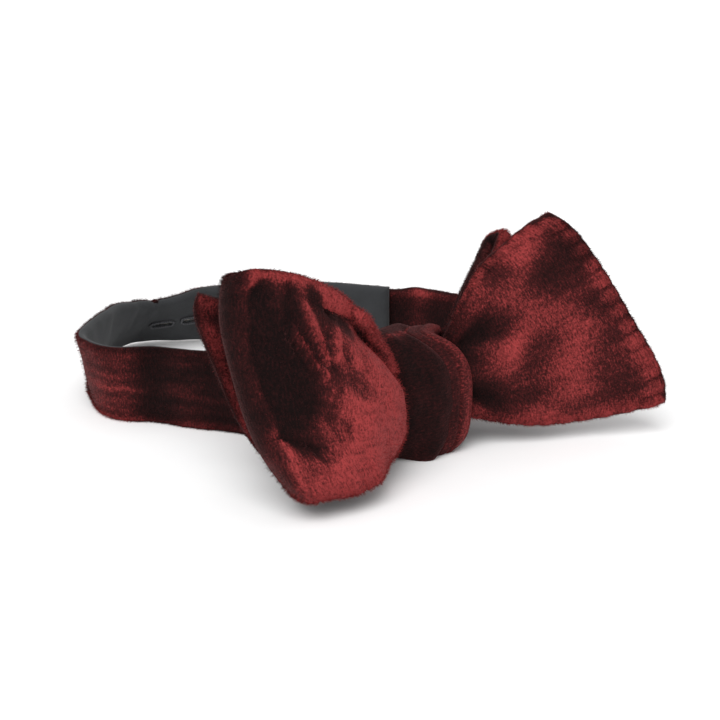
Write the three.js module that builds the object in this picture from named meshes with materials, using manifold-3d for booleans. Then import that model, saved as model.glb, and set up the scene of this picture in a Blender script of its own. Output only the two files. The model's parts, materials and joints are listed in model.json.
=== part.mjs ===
// A self-tied velvet bow tie, tied, lying on its knot, its left wing and its neckband.
// Millimetres. +Z is up, +X is the bow's right seen from the front, +Y runs back through
// the neck loop. The origin is the middle of the knot's flat foot.
import * as THREE from "three";
import { mergeVertices } from "three/addons/utils/BufferGeometryUtils.js";
import Module from "manifold-3d";

const wasm = await Module();
wasm.setup();

// Cloth
const VELVET = 1.2;
const INTERLINING = 0.8;
const LINING = 0.6;
const LAYER_GAP = 0.36;

// Knot: two turns of folded blade round a core
const KNOT_DEPTH = 26;
const KNOT_HEIGHT = 39;
const KNOT_LEFT = -13;
const WRAP_WIDTH = 18;
const WRAP_ROUND = 1.6;
const WRAP_SHOULDER = 1.5;
const CUFF_WIDTH = 5.75;
const CUFF_PROUD = 1.4;
const CUFF_ROLL = 4.4;
const KNOT_SQUARENESS = 2.6;
const FOOT_FLAT = 0.35;
const CORE_HALF_LENGTH = 7.2;

// Wings: root, low end and high end of each blade's middle surface
const LEFT_ROOT_X = -14.4;
const RIGHT_ROOT_X = 8.5;
const ROOT_LOW = 12;
const ROOT_HIGH = 28;
const LOOP_FOLD_RADIUS = 3.6;
const CORNER_ROUNDING = 0.07;
const INTERLINING_INSET = 2;

// Neckband
const BAND_WIDTH = 25.5;
const BAND_ROOT_WIDTH = 19;
const BAND_ROOT_LIFT = 4;
const BAND_EASE = 30;
const LEFT_STRAP_LENGTH = 262;
const STRAP_CLEARANCE = 0.5;

// Adjuster
const SLOT_COUNT = 7;
const SLOT_PITCH = 12.7;
const SLOT_LENGTH = 8;
const SLOT_HEIGHT = 2.4;
const FIRST_SLOT = 10;
const HOOKED_SLOT = 1;
const STITCH_RIM = 0.6;
const STITCH_CLEARANCE = 0.45;
const HOOK_SHEET = 0.8;
const HOOK_EYE_HEIGHT = 9;
const HOOK_EYE_LENGTH = 4.5;
const HOOK_BAR = 1.2;
const HOOK_NECK = 1.5;
const HOOK_HEAD_HEIGHT = 9;
const HOOK_HEAD_LENGTH = 2.2;
const HOOK_REACH = 3.5;
const TAB_HEIGHT = 5;
const TAB_SHEET = 0.4;
const TAB_TONGUE = 5;

const bow = new THREE.Group();

const finishes = {
  velvet: new THREE.Color(0.33, 0.03, 0.05),
  velvetDark: new THREE.Color(0.2, 0.02, 0.03),
  interlining: new THREE.Color(0.82, 0.8, 0.75),
  lining: new THREE.Color(0.07, 0.075, 0.08),
  thread: new THREE.Color(0.1, 0.1, 0.11),
  metal: new THREE.Color(0.12, 0.12, 0.13),
};

function addPiece(name, geometry, finish, parent = bow) {
  const metalness = finish === "metal" ? 0.9 : 0;
  const roughness = finish === "metal" ? 0.35 : 0.9;
  const material = new THREE.MeshStandardMaterial({ color: finishes[finish], roughness, metalness });
  const mesh = new THREE.Mesh(geometry, material);
  mesh.name = name;
  parent.add(mesh);
  return mesh;
}

// Manifold solids, for the few cuts and joins

function toSolid(geometry) {
  const bare = geometry.clone();
  bare.deleteAttribute("normal");
  bare.deleteAttribute("uv");
  const merged = mergeVertices(bare, 1e-4);
  return new wasm.Manifold(new wasm.Mesh({
    numProp: 3,
    vertProperties: new Float32Array(merged.attributes.position.array),
    triVerts: new Uint32Array(merged.index.array),
  }));
}

function toGeometry(solid) {
  const mesh = solid.getMesh();
  const geometry = new THREE.BufferGeometry();
  geometry.setAttribute("position", new THREE.BufferAttribute(mesh.vertProperties, 3));
  geometry.setIndex(new THREE.BufferAttribute(mesh.triVerts, 1));
  return geometry;
}

function block(sizeX, sizeY, sizeZ, x, y, z) {
  return new THREE.BoxGeometry(sizeX, sizeY, sizeZ).translate(x, y, z);
}

// A box whose length, width and thickness follow a map (a, v, depth) -> point.
// a and v run from 0 to 1, depth from inner to outer in millimetres.
function mappedPlate(stepsA, stepsV, inner, outer, rangeA, rangeV, map) {
  const geometry = new THREE.BoxGeometry(1, 1, 1, stepsA, stepsV, 1);
  const position = geometry.attributes.position;
  for (let i = 0; i < position.count; i += 1) {
    const a = THREE.MathUtils.lerp(rangeA[0], rangeA[1], position.getX(i) + 0.5);
    const v = THREE.MathUtils.lerp(rangeV[0], rangeV[1], position.getY(i) + 0.5);
    const depth = THREE.MathUtils.lerp(inner, outer, position.getZ(i) + 0.5);
    const point = map(a, v, depth);
    position.setXYZ(i, point.x, point.y, point.z);
  }
  return geometry;
}

// The layers of a blade or strap, as [inner depth, outer depth] from its middle surface
const layerCore = [-INTERLINING / 2, INTERLINING / 2];
const faceInner = INTERLINING / 2 + LAYER_GAP;
const layerFace = [faceInner, faceInner + VELVET];
const layerBack = [-faceInner - VELVET, -faceInner];
const layerLining = [-faceInner - LINING, -faceInner];
const bladeHalf = faceInner + VELVET;

// Knot

const knotRadiusY = KNOT_DEPTH / 2;
const knotRadiusZ = KNOT_HEIGHT / 2;
const knotCentreZ = knotRadiusZ - FOOT_FLAT;
const wrapRight = KNOT_LEFT + WRAP_WIDTH;

// A closed ring round the X axis. The profile gives [x, inset from the outer surface].
function knotRing(profile, radiusY, radiusZ, centreZ) {
  const points = profile.map(([x, inset]) => new THREE.Vector2(radiusZ - inset, x));
  points.push(points[0].clone());
  const ring = new THREE.LatheGeometry(points, 32);
  ring.rotateZ(-Math.PI / 2);
  const position = ring.attributes.position;
  for (let i = 0; i < position.count; i += 1) {
    const radius = Math.hypot(position.getY(i), position.getZ(i));
    const cos = position.getY(i) / radius;
    const sin = position.getZ(i) / radius;
    const squash = (Math.abs(cos) ** KNOT_SQUARENESS + Math.abs(sin) ** KNOT_SQUARENESS)
      ** (-1 / KNOT_SQUARENESS);
    const inset = radiusZ - radius;
    const y = cos * squash * (radiusY - inset);
    const z = sin * squash * (radiusZ - inset);
    position.setXYZ(i, position.getX(i), y, z + centreZ);
  }
  return toSolid(ring);
}

function flattenFoot(solid) {
  const below = toSolid(block(60, 60, 10, 0, 0, -5));
  return toGeometry(solid.subtract(below));
}

// The wrap is barrel shaped: its two edges dip in by WRAP_ROUND
const crownLeft = KNOT_LEFT + WRAP_WIDTH * 0.3;
const crownRight = KNOT_LEFT + WRAP_WIDTH * 0.7;

function wrapProfile(inset, thickness, shrink) {
  const left = KNOT_LEFT + shrink;
  const right = wrapRight - shrink;
  const edge = inset + WRAP_ROUND;
  return [
    [left, edge],
    [left + WRAP_SHOULDER, inset + WRAP_ROUND * 0.3],
    [crownLeft, inset],
    [crownRight, inset],
    [right - WRAP_SHOULDER, inset + WRAP_ROUND * 0.3],
    [right, edge],
    [right, edge + thickness],
    [crownRight, inset + thickness],
    [crownLeft, inset + thickness],
    [left, edge + thickness],
  ];
}

addPiece("knot_wrap_velvet",
  flattenFoot(knotRing(wrapProfile(0, VELVET, 0), knotRadiusY, knotRadiusZ, knotCentreZ)), "velvet");
const wrapCoreInset = VELVET + LAYER_GAP + WRAP_ROUND * 0.15;
addPiece("knot_wrap_interlining",
  toGeometry(knotRing(wrapProfile(wrapCoreInset, INTERLINING, INTERLINING_INSET),
    knotRadiusY, knotRadiusZ, knotCentreZ)), "interlining");

const cuffLeft = wrapRight + LAYER_GAP;
const cuffProfile = [];
for (let i = 0; i < 10; i += 1) {
  const angle = (i / 10) * 2 * Math.PI;
  cuffProfile.push([
    cuffLeft + CUFF_WIDTH / 2 - (CUFF_WIDTH / 2) * Math.cos(angle),
    CUFF_ROLL / 2 - (CUFF_ROLL / 2) * Math.sin(angle),
  ]);
}
addPiece("knot_cuff_velvet",
  flattenFoot(knotRing(cuffProfile, knotRadiusY + CUFF_PROUD, knotRadiusZ + CUFF_PROUD,
    knotCentreZ + CUFF_PROUD)), "velvet");

const coreInset = wrapCoreInset + WRAP_ROUND + INTERLINING + LAYER_GAP;
const coreRadiusY = knotRadiusY - coreInset;
const coreRadiusZ = knotRadiusZ - coreInset;
const coreProfile = [
  new THREE.Vector2(0, -CORE_HALF_LENGTH),
  new THREE.Vector2(0.72, -CORE_HALF_LENGTH),
  new THREE.Vector2(1, -CORE_HALF_LENGTH * 0.5),
  new THREE.Vector2(1, CORE_HALF_LENGTH * 0.5),
  new THREE.Vector2(0.72, CORE_HALF_LENGTH),
  new THREE.Vector2(0, CORE_HALF_LENGTH),
];
const coreGeometry = new THREE.LatheGeometry(coreProfile, 24);
coreGeometry.rotateZ(-Math.PI / 2);
coreGeometry.scale(1, coreRadiusY, coreRadiusZ);
coreGeometry.translate(0, 0, knotCentreZ);
addPiece("knot_core_crossing", coreGeometry, "velvetDark");

// Wings

function quadratic(from, via, to, t) {
  const k = 1 - t;
  return new THREE.Vector3()
    .addScaledVector(from, k * k)
    .addScaledVector(via, 2 * k * t)
    .addScaledVector(to, t * t);
}

// Middle surface of a blade, u from the knot to the end, v from its low to its high edge
function bladeSurface(wing, share, v) {
  const u = share * (1 - CORNER_ROUNDING * Math.abs(2 * v - 1) ** wing.cornerPower);
  const low = quadratic(wing.rootLow, wing.lowVia, wing.endLow, u);
  const high = quadratic(wing.rootHigh, wing.highVia, wing.endHigh, u);
  const point = low.lerp(high, v);
  point.y -= wing.bulge * Math.sin(Math.PI * v) * Math.sin(Math.PI * Math.min(1, u));
  return point;
}

// A folded loop runs out along its front layer, round the fold and back behind it
function loopSurface(wing, a, v) {
  const foldShare = 0.22;
  const run = 1 - 2 * a;
  const beyond = Math.abs(run) - foldShare;
  const length = wing.endHigh.distanceTo(wing.rootHigh);
  let u;
  let lift;
  if (beyond > 0) {
    u = 1 - beyond / (1 - foldShare);
    const swell = Math.sin(Math.PI * u) ** 1.2 * (0.55 + 0.45 * Math.sin(Math.PI * v));
    const half = THREE.MathUtils.lerp(wing.rootHalf, LOOP_FOLD_RADIUS, u)
      + swell * (run > 0 ? wing.swellFront : wing.swellRear);
    lift = Math.sign(run) * half;
  } else {
    const turn = (run / foldShare) * (Math.PI / 2);
    u = 1 + (LOOP_FOLD_RADIUS / length) * Math.cos(turn);
    lift = LOOP_FOLD_RADIUS * Math.sin(turn);
  }
  const point = bladeSurface(wing, u, v);
  point.y -= lift;
  return point;
}

function offsetMap(surface) {
  const step = 1e-3;
  return (a, v, depth) => {
    const point = surface(a, v);
    const alongA = surface(Math.min(1, a + step), v).sub(surface(Math.max(0, a - step), v));
    const alongV = surface(a, Math.min(1, v + step)).sub(surface(a, Math.max(0, v - step)));
    const normal = alongA.cross(alongV).normalize();
    return point.addScaledVector(normal, depth);
  };
}

function point3(x, y, z) {
  return new THREE.Vector3(x, y, z);
}

const leftLoop = {
  name: "left_loop",
  rootLow: point3(LEFT_ROOT_X, -5.3, ROOT_LOW),
  rootHigh: point3(LEFT_ROOT_X, -4.6, ROOT_HIGH),
  lowVia: point3(-31, -22, -1.6),
  highVia: point3(-33, -8, 64),
  endLow: point3(-58, -25, 2.2),
  endHigh: point3(-66, -8, 63.5),
  bulge: 3,
  cornerPower: 4,
  rootHalf: 2.1,
  swellFront: 7,
  swellRear: 1.2,
};
const leftEnd = {
  name: "left_end",
  rootLow: point3(LEFT_ROOT_X, 1.6, ROOT_LOW),
  rootHigh: point3(LEFT_ROOT_X, 1.8, ROOT_HIGH),
  lowVia: point3(-30, 3, 4),
  highVia: point3(-36, 5, 44),
  endLow: point3(-55, 2, 7.5),
  endHigh: point3(-70.5, 11, 57),
  bulge: -1.5,
  cornerPower: 4,
};
const rightEnd = {
  name: "right_end",
  rootLow: point3(RIGHT_ROOT_X, -5.6, ROOT_LOW),
  rootHigh: point3(RIGHT_ROOT_X, -5.4, ROOT_HIGH),
  lowVia: point3(36.5, -12, 1),
  highVia: point3(22.5, -4.3, 61.5),
  endLow: point3(74, -30, 12),
  endHigh: point3(47.5, -6, 71.5),
  bulge: 5,
  cornerPower: 5,
};
const rightLoop = {
  name: "right_loop",
  rootLow: point3(RIGHT_ROOT_X, 0.5, ROOT_LOW),
  rootHigh: point3(RIGHT_ROOT_X, 0.6, ROOT_HIGH),
  lowVia: point3(28, -1, 6),
  highVia: point3(19.5, 1.8, 48),
  endLow: point3(44, -5, 16),
  endHigh: point3(30, 5, 64),
  bulge: 1,
  cornerPower: 4,
  rootHalf: 2.1,
  swellFront: 0.4,
  swellRear: 3,
};

// Each blade is a face velvet, an interlining and a back velvet, nested on one surface
function addBlade(wing, surface, [steps, stepsUp], outwardSign, faceNames) {
  const map = offsetMap((a, v) => surface(wing, a, v));
  const length = wing.endHigh.distanceTo(wing.rootHigh);
  const insetA = INTERLINING_INSET / (length * (surface === loopSurface ? 2 : 1));
  const whole = [0, 1];
  const coreA = surface === loopSurface ? whole : [0, 1 - insetA];
  const flip = (layer) => (outwardSign > 0 ? layer : [-layer[1], -layer[0]]);
  const plate = (layer, rangeA) => (
    mappedPlate(steps, stepsUp, ...flip(layer), rangeA, whole, map)
  );
  addPiece(`${wing.name}_${faceNames[0]}`, plate(layerFace, whole), "velvet");
  addPiece(`${wing.name}_interlining`, plate(layerCore, coreA), "interlining");
  addPiece(`${wing.name}_${faceNames[1]}`, plate(layerBack, whole), "velvetDark");
}

const loopFaces = ["outer_velvet", "inner_velvet"];
const endFaces = ["front_velvet", "back_velvet"];
addBlade(leftLoop, loopSurface, [24, 9], -1, loopFaces);
addBlade(leftEnd, bladeSurface, [8, 6], -1, endFaces);
addBlade(rightEnd, bladeSurface, [9, 6], 1, endFaces);
addBlade(rightLoop, loopSurface, [18, 5], 1, loopFaces);

// Neckband

// Plan of the band's middle at its lower edge, with its lean: degrees by which the upper
// edge leans in over the loop. It runs from the knot's left round to the knot's right.
const neckRoute = [
  [-15, 7.5, 0],
  [-30, 24, 0],
  [-47, 44, 0],
  [-60, 59, -3],
  [-70, 69, -10],
  [-71, 79, -12],
  [-67, 98, 4],
  [-55, 126, 33],
  [-38, 138, 44],
  [-20, 133, 36],
  [-2, 121, 18],
  [15, 106, 6],
  [31, 89, 0],
  [44, 74, 0],
  [55, 58, 0],
  [55, 42, 0],
  [42, 26, 0],
  [28, 16, 0],
  [15, 9.5, 0],
];
const neckPlan = new THREE.CatmullRomCurve3(
  neckRoute.map(([x, y]) => point3(x, y, 0)), false, "centripetal");
const neckLean = new THREE.CatmullRomCurve3(
  neckRoute.map(([, , lean], i) => point3(i, lean, 0)), false, "centripetal");
const neckLength = neckPlan.getLength();

const slotAt = (index) => LEFT_STRAP_LENGTH - FIRST_SLOT - index * SLOT_PITCH;
const hookedSlot = slotAt(HOOKED_SLOT);
const rightStrapStart = hookedSlot + SLOT_LENGTH / 2 + HOOK_BAR + 1.5;
const overlapOffset = 2 * bladeHalf + STRAP_CLEARANCE;

// Where the right strap leaves the left one it settles back onto the common line
function rightStrapOffset(along) {
  return overlapOffset * (1 - THREE.MathUtils.smoothstep(along, LEFT_STRAP_LENGTH, neckLength - 60));
}

// Point on the band: distance along it, height share of its width, depth outward of its middle
function bandPoint(along, heightShare, depth) {
  const share = THREE.MathUtils.clamp(along / neckLength, 0, 1);
  const foot = neckPlan.getPointAt(share);
  const tangent = neckPlan.getTangentAt(share);
  const t = neckPlan.getUtoTmapping(share);
  const lean = THREE.MathUtils.degToRad(neckLean.getPoint(t).y);
  const outward = point3(-tangent.y, tangent.x, 0);
  const normal = outward.clone().multiplyScalar(Math.cos(lean));
  normal.z = Math.sin(lean);
  const rise = outward.clone().multiplyScalar(-Math.sin(lean));
  rise.z = Math.cos(lean);
  const fromKnot = Math.min(along, neckLength - along);
  const ease = THREE.MathUtils.smoothstep(fromKnot, 0, BAND_EASE);
  const width = THREE.MathUtils.lerp(BAND_ROOT_WIDTH, BAND_WIDTH, ease);
  foot.z = BAND_ROOT_LIFT * (1 - ease) + bladeHalf * Math.abs(Math.sin(lean));
  return foot.addScaledVector(rise, width * heightShare).addScaledVector(normal, depth);
}

const BAND_STEPS_UP = 4;

function bandPlate(layer, from, to, steps, offsetBy, inset) {
  const map = (a, v, depth) => {
    const along = THREE.MathUtils.lerp(to, from, a);
    return bandPoint(along, v, depth + offsetBy(along));
  };
  const vInset = inset / BAND_WIDTH;
  return mappedPlate(steps, BAND_STEPS_UP, layer[0], layer[1], [0, 1], [vInset, 1 - vInset], map);
}

// A frame that stands on the band: x along it towards the left strap's root, y outward, z up
function bandFrame(along) {
  const centre = bandPoint(along, 0.5, 0);
  const towardsRoot = bandPoint(along - 1, 0.5, 0).sub(bandPoint(along + 1, 0.5, 0)).normalize();
  const outward = bandPoint(along, 0.5, 1).sub(centre).normalize();
  const up = towardsRoot.clone().cross(outward);
  return new THREE.Matrix4().makeBasis(towardsRoot, outward, up).setPosition(centre);
}

const onLine = () => 0;
const slotCutters = [];
for (let i = 0; i < SLOT_COUNT; i += 1) {
  const cutter = block(SLOT_LENGTH, 4 * bladeHalf, SLOT_HEIGHT, 0, 0, 0);
  cutter.applyMatrix4(bandFrame(slotAt(i)));
  slotCutters.push(toSolid(cutter));
}

function addSlottedPiece(name, geometry, finish) {
  let solid = toSolid(geometry);
  for (const cutter of slotCutters) {
    solid = solid.subtract(cutter);
  }
  addPiece(name, toGeometry(solid), finish);
}

const leftSteps = 42;
const rightSteps = 20;
addSlottedPiece("left_band_velvet",
  bandPlate(layerFace, 0, LEFT_STRAP_LENGTH, leftSteps, onLine, 0), "velvet");
addSlottedPiece("left_band_interlining",
  bandPlate(layerCore, 0, LEFT_STRAP_LENGTH, leftSteps, onLine, INTERLINING_INSET), "interlining");
addSlottedPiece("left_band_lining",
  bandPlate(layerLining, 0, LEFT_STRAP_LENGTH, leftSteps, onLine, 0), "lining");
addPiece("right_band_outer_velvet",
  bandPlate(layerFace, rightStrapStart, neckLength, rightSteps, rightStrapOffset, 0), "velvet");
const tabRoom = TAB_TONGUE + 1;
addPiece("right_band_interlining",
  bandPlate(layerCore, rightStrapStart + tabRoom, neckLength, rightSteps, rightStrapOffset,
    INTERLINING_INSET), "interlining");
addPiece("right_band_inner_velvet",
  bandPlate(layerBack, rightStrapStart, neckLength, rightSteps, rightStrapOffset, 0), "velvetDark");

// Whipped thread round each slot, inside the lining's face
for (let i = 0; i < SLOT_COUNT; i += 1) {
  const outline = new THREE.Shape();
  const halfLength = SLOT_LENGTH / 2 + STITCH_RIM;
  const halfHeight = SLOT_HEIGHT / 2 + STITCH_RIM;
  outline.absarc(halfLength - halfHeight, 0, halfHeight, -Math.PI / 2, Math.PI / 2);
  outline.absarc(halfHeight - halfLength, 0, halfHeight, Math.PI / 2, (3 * Math.PI) / 2);
  const slit = new THREE.Path();
  const slitRadius = SLOT_HEIGHT / 2;
  slit.absarc(SLOT_LENGTH / 2 - slitRadius, 0, slitRadius, -Math.PI / 2, Math.PI / 2);
  slit.absarc(slitRadius - SLOT_LENGTH / 2, 0, slitRadius, Math.PI / 2, (3 * Math.PI) / 2);
  outline.holes.push(slit);
  const rim = new THREE.ExtrudeGeometry(outline, { depth: 0.5, bevelEnabled: false, curveSegments: 4 });
  rim.rotateX(Math.PI / 2);
  rim.translate(0, layerLining[0] - STITCH_CLEARANCE, 0);
  rim.applyMatrix4(bandFrame(slotAt(i)));
  addPiece(`slot_stitching_${i + 1}`, rim, "thread");
}

// T-hook, in the frame of its eye bar: x towards the slot, y outward, z up
const hookDrop = overlapOffset + faceInner + LINING + LAYER_GAP * 2 + 0.5 + HOOK_SHEET / 2;
const hookHalf = HOOK_SHEET / 2;
const neckEnd = HOOK_EYE_LENGTH - HOOK_BAR / 2 + HOOK_REACH;
const neckStart = HOOK_EYE_LENGTH - HOOK_BAR;
const neckOutline = new THREE.Shape([
  new THREE.Vector2(neckStart, hookHalf),
  new THREE.Vector2(HOOK_EYE_LENGTH + hookHalf, hookHalf),
  new THREE.Vector2(neckEnd + hookHalf, hookHalf - hookDrop),
  new THREE.Vector2(neckEnd + HOOK_HEAD_LENGTH, hookHalf - hookDrop),
  new THREE.Vector2(neckEnd + HOOK_HEAD_LENGTH, -hookHalf - hookDrop),
  new THREE.Vector2(neckEnd - hookHalf, -hookHalf - hookDrop),
  new THREE.Vector2(HOOK_EYE_LENGTH - hookHalf, -hookHalf),
  new THREE.Vector2(neckStart, -hookHalf),
]);
const neck = new THREE.ExtrudeGeometry(neckOutline, { depth: HOOK_NECK, bevelEnabled: false });
neck.translate(0, 0, -HOOK_NECK / 2);
const head = block(HOOK_HEAD_LENGTH, HOOK_SHEET, HOOK_HEAD_HEIGHT,
  neckEnd + HOOK_HEAD_LENGTH / 2, -hookDrop, 0);
const eyePlate = block(HOOK_EYE_LENGTH, HOOK_SHEET, HOOK_EYE_HEIGHT,
  HOOK_EYE_LENGTH / 2 - HOOK_BAR / 2, 0, 0);
const eyeWindow = block(HOOK_EYE_LENGTH - 2 * HOOK_BAR, 3 * HOOK_SHEET, TAB_HEIGHT + 0.8,
  HOOK_EYE_LENGTH / 2 - HOOK_BAR / 2, 0, 0);
const hookSolid = toSolid(eyePlate).subtract(toSolid(eyeWindow)).add(toSolid(neck)).add(toSolid(head));
const hookFrame = bandFrame(rightStrapStart - 1.9);
const hookOut = new THREE.Matrix4().makeTranslation(0, overlapOffset, 0);
hookFrame.multiply(hookOut);
addPiece("t_hook", toGeometry(hookSolid).applyMatrix4(hookFrame), "metal");

// Ribbon tab that holds the hook's eye bar and is sewn inside the right strap's end
const tabHole = Math.hypot(HOOK_BAR, HOOK_SHEET) / 2 + 0.35;
const tabOutline = new THREE.Shape();
const tabOuter = tabHole + TAB_SHEET;
const rootAngle = Math.PI - Math.asin(TAB_SHEET / tabOuter);
tabOutline.moveTo(-TAB_TONGUE - 1.9, -TAB_SHEET);
tabOutline.lineTo(tabOuter * Math.cos(rootAngle), -TAB_SHEET);
tabOutline.absarc(0, 0, tabOuter, -rootAngle, rootAngle, false);
tabOutline.lineTo(-TAB_TONGUE - 1.9, TAB_SHEET);
const tabBore = new THREE.Path();
tabBore.absarc(0, 0, tabHole, 0, 2 * Math.PI);
tabOutline.holes.push(tabBore);
const tab = new THREE.ExtrudeGeometry(tabOutline, { depth: TAB_HEIGHT, bevelEnabled: false, curveSegments: 8 });
tab.translate(0, 0, -TAB_HEIGHT / 2);
addPiece("hook_loop_tab", tab.applyMatrix4(hookFrame), "thread");

export default bow;
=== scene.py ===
# %% [markdown]
# # A velvet bow tie, dressed on its CAD frame
#
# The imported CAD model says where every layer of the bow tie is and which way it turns.
# This script takes that frame and makes the cloth: burgundy silk velvet on the faces, a
# charcoal twill lining inside the band, pale woven interlining between, a black hook.
# All lengths here are millimetres turned to metres by MM, and every part is placed from
# the frame's joints and boxes, so a change to the CAD carries through.

# %% Load the frame
import json
import math

import bmesh
import bpy
import numpy as np
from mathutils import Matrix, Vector


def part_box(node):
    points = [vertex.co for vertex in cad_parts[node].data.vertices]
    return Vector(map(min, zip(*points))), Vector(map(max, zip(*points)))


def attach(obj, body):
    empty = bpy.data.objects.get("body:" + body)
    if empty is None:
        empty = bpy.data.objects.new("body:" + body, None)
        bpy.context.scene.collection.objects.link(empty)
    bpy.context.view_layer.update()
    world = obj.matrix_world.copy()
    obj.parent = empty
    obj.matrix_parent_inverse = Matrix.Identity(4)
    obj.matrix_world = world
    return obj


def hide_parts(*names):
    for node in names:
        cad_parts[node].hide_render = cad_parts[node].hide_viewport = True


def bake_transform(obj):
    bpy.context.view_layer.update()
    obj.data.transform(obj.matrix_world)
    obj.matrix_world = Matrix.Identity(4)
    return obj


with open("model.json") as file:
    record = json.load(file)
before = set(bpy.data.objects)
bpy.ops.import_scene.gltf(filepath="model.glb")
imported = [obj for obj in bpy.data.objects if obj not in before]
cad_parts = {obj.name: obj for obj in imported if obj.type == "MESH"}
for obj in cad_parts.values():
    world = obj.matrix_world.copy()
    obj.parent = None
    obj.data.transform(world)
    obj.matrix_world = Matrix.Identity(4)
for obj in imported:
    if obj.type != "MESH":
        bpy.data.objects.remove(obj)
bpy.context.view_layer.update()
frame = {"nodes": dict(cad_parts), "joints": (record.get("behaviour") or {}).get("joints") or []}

MM = 0.001
hinges = {joint["name"]: np.array(joint["pos_m"], float) / MM for joint in frame["joints"]}
print("hinges, mm:", {name: [round(float(c), 1) for c in at] for name, at in hinges.items()})

# %% [markdown]
# ## Camera, floor and light
#
# The tie lies on a white table and is seen from the front left and a little above, through
# a longish lens, so the loop of the band shows behind the bow. The camera aims at a point
# between the knot and the far side of the band. A white surround and one very wide sun
# leave only the faint, soft shadows that a light tent gives.

# %% Camera, floor and light
scene = bpy.context.scene
scene.view_settings.view_transform = "Standard"

AIM = hinges["left_loop_flex"] + np.array([3.0, 19.8, 5.2])
AZIMUTH, ELEVATION, DISTANCE = math.radians(-30), math.radians(18.3), 424
LENS, SENSOR = 70, 36
SURROUND_STRENGTH, SUN_STRENGTH, SUN_ANGLE = 0.68, 2.15, math.radians(50)
SUN_FROM = (-0.42, -0.40, 0.81)

towards = np.array([
    math.sin(AZIMUTH) * math.cos(ELEVATION),
    -math.cos(AZIMUTH) * math.cos(ELEVATION),
    math.sin(ELEVATION),
])
camera_data = bpy.data.cameras.new("camera")
camera_data.lens = LENS
camera_data.sensor_width = SENSOR
camera_data.clip_start = 0.01
camera = bpy.data.objects.new("camera", camera_data)
camera.location = Vector((AIM + towards * DISTANCE) * MM)
camera.rotation_euler = (math.pi / 2 - ELEVATION, 0, AZIMUTH)
scene.collection.objects.link(camera)
scene.camera = camera

world = bpy.data.worlds.new("tent")
scene.world = world
world.use_nodes = True
surround = world.node_tree.nodes["Background"].inputs
surround["Color"].default_value = (1, 1, 1, 1)
surround["Strength"].default_value = SURROUND_STRENGTH

key_data = bpy.data.lights.new("key", "SUN")
key_data.energy = SUN_STRENGTH
key_data.angle = SUN_ANGLE
key = bpy.data.objects.new("key", key_data)
key.rotation_euler = Vector(SUN_FROM).to_track_quat("Z", "Y").to_euler()
scene.collection.objects.link(key)


def new_object(name, bm, material=None):
    mesh = bpy.data.meshes.new(name)
    bm.to_mesh(mesh)
    bm.free()
    mesh.polygons.foreach_set("use_smooth", [True] * len(mesh.polygons))
    obj = bpy.data.objects.new(name, mesh)
    scene.collection.objects.link(obj)
    if material:
        mesh.materials.append(material)
    return obj


print("camera at", [round(c, 4) for c in camera.location])

# %% [markdown]
# ## A short way to write materials
#
# Velvet, twill and canvas are all sums of noise and waves. A small class wraps a node
# socket so that the sums read as arithmetic, which keeps each recipe short enough to tune.


# %% Shader arithmetic
class Socket:
    """A node socket with arithmetic, in one material's node tree."""

    def __init__(self, tree, output):
        self.tree = tree
        self.output = output

    def node(self, kind, inputs=(), output=0, **settings):
        made = self.tree.nodes.new(kind)
        for key, value in settings.items():
            setattr(made, key, value)
        for key, value in dict(inputs).items():
            plug(self.tree, made.inputs[key], value)
        return Socket(self.tree, made.outputs[output])

    def math(self, operation, other=0.0, swap=False):
        pair = (other, self) if swap else (self, other)
        return self.node("ShaderNodeMath", {0: pair[0], 1: pair[1]}, operation=operation)

    def __add__(self, other):
        return self.math("ADD", other)

    def __radd__(self, other):
        return self.math("ADD", other, swap=True)

    def __sub__(self, other):
        return self.math("SUBTRACT", other)

    def __rsub__(self, other):
        return self.math("SUBTRACT", other, swap=True)

    def __mul__(self, other):
        return self.math("MULTIPLY", other)

    def __rmul__(self, other):
        return self.math("MULTIPLY", other, swap=True)

    def clamp(self):
        return self.node("ShaderNodeClamp", {"Value": self})

    def sin(self):
        return self.math("SINE")

    def ramp(self, stops):
        ramp = self.node("ShaderNodeValToRGB", {"Fac": self})
        elements = ramp.output.node.color_ramp.elements
        while len(elements) < len(stops):
            elements.new(1)
        for element, (position, colour) in zip(elements, stops):
            element.position = position
            element.color = (*colour, 1)
        return ramp

    def noise(self, scale, detail=2.0, roughness=0.5):
        return self.node("ShaderNodeTexNoise", {
            "Vector": self, "Scale": scale, "Detail": detail, "Roughness": roughness})

    def stretched(self, x, y, z):
        return self.node("ShaderNodeMapping", {"Vector": self, "Scale": (x, y, z)})


def plug(tree, socket, value):
    if isinstance(value, Socket):
        tree.links.new(value.output, socket)
    else:
        socket.default_value = value


def new_material(name, constants):
    """A material, its first socket to build on, and its Principled inputs by name."""
    material = bpy.data.materials.new(name)
    material.use_nodes = True
    tree = material.node_tree
    shader = tree.nodes["Principled BSDF"]
    for key, value in constants.items():
        shader.inputs[key].default_value = value
    return material, Socket(tree, None), shader.inputs


def add_bumps(start, inputs, bumps):
    """Chains bumps, coarse to fine: each is (height, strength, distance in mm)."""
    normal = None
    for height, strength, distance in bumps:
        settings = {"Height": height, "Strength": strength, "Distance": distance * MM}
        if normal:
            settings["Normal"] = normal
        normal = start.node("ShaderNodeBump", settings)
    plug(start.tree, inputs["Normal"], normal)


# %% [markdown]
# ## The finishes
#
# Velvet is woven with a dense pile about a millimetre deep. Brushed one way it shows
# its cut ends and looks nearly black; brushed the other way it shows its sides and shines
# pinkish red. The direction changes over each blade, so every velvet mesh carries a value
# from 0, dark, to 1, bright, that holds its nap together with painted light and shade:
# folds painted brighter where they face the light and darker in their hollows, and painted
# highlights on rims and lobes. The material adds the small brushed patches, streaks and
# single tufts. The cloth map holds true cloth lengths, so the ribs of the pile keep one
# size on every piece.

# %% Velvet


def mixed(one, other, share):
    return tuple(a + (b - a) * share for a, b in zip(one, other))


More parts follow.
